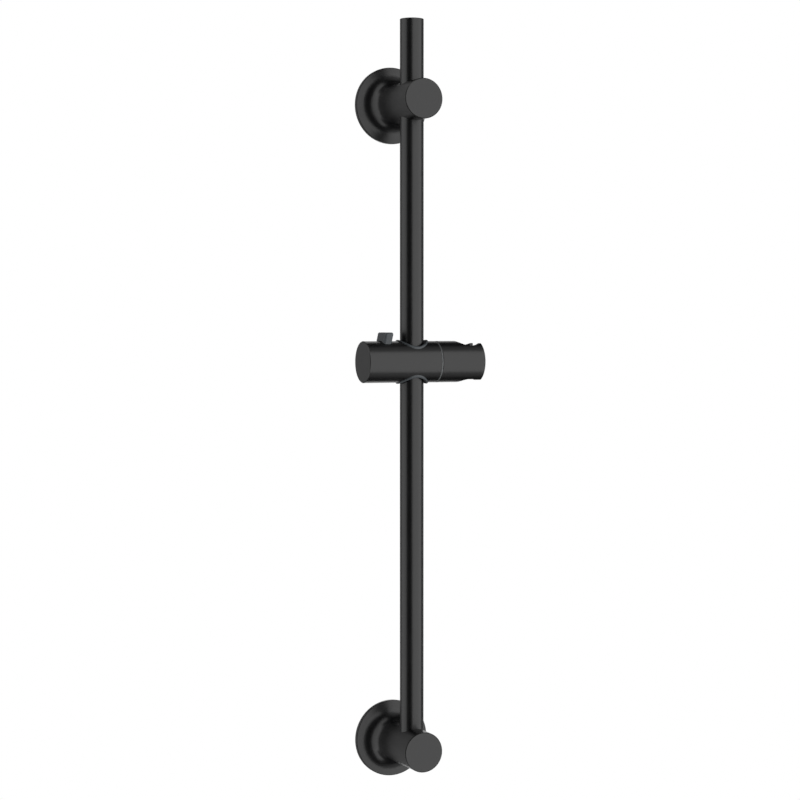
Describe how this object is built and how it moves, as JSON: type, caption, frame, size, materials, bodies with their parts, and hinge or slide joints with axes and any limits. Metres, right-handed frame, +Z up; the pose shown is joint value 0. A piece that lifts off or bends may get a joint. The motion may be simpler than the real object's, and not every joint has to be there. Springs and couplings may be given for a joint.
{
  "type": "shower slide rail",
  "caption": "Round shower rail on two wall posts, with a slider that locks by a sprung thumb paddle and swivels, and a tilting slotted holder for a hand shower.",
  "frame": {"origin": "on the wall plane, at the centre of the lower bracket's back face", "axes": "+Z up along the rail, +Y into the wall, +X to the right for someone facing the wall"},
  "size_m": [0.1157, 0.0815, 0.7115],
  "materials": {
    "coated_rail": "satin black coating on drawn tube",
    "coated_casting": "satin black coating on turned castings",
    "paddle": "dark grey moulding",
    "bush": "dark grey moulding",
    "glide": "black acetal",
    "washer": "grey acetal",
    "plunger": "grey acetal",
    "pad": "moulded rubber",
    "wall_plate": "turned stainless steel",
    "fasteners": "stainless steel"
  },
  "bodies": {
    "rail": {"rail_tube": "coated_rail", "rail_top_plug": "coated_rail", "lower_bracket": "coated_casting", "upper_bracket": "coated_casting", "lower_wall_plate": "wall_plate", "upper_wall_plate": "wall_plate", "bracket_set_screws": "fasteners", "rail_clamp_screws": "fasteners"},
    "carriage": {"glide_ring_upper": "glide", "glide_ring_lower": "glide"},
    "slider": {"slider_body": "coated_casting", "slider_end_cap": "coated_casting", "rail_bush": "bush", "friction_washer": "washer", "pivot_screw": "fasteners", "pivot_spring_washer": "fasteners", "brake_spring": "fasteners"},
    "lock": {"lock_paddle": "paddle", "brake_plunger": "plunger", "brake_pad": "pad", "stem_pin": "fasteners"},
    "holder": {"handset_holder": "coated_casting"}
  },
  "joints": [
    {"name": "slider_height", "type": "slide", "parent": "rail", "child": "carriage", "axis": [0, 0, 1], "range_m": [-0.3027, 0.1847]},
    {"name": "slider_swivel", "type": "hinge", "parent": "carriage", "child": "slider", "pos_m": [0, -0.0525, 0.359], "axis": [0, 0, 1], "range_deg": [-210, 30]},
    {"name": "lock_release", "type": "slide", "parent": "slider", "child": "lock", "axis": [1, 0, 0], "range_m": [-0.004, 0], "stiffness_N_per_m": 1000, "springref_m": 0.006, "deforming": ["brake_spring"]},
    {"name": "holder_tilt", "type": "hinge", "parent": "slider", "child": "holder", "pos_m": [0.045, -0.0525, 0.359], "axis": [1, 0, 0], "continuous": true}
  ]
}
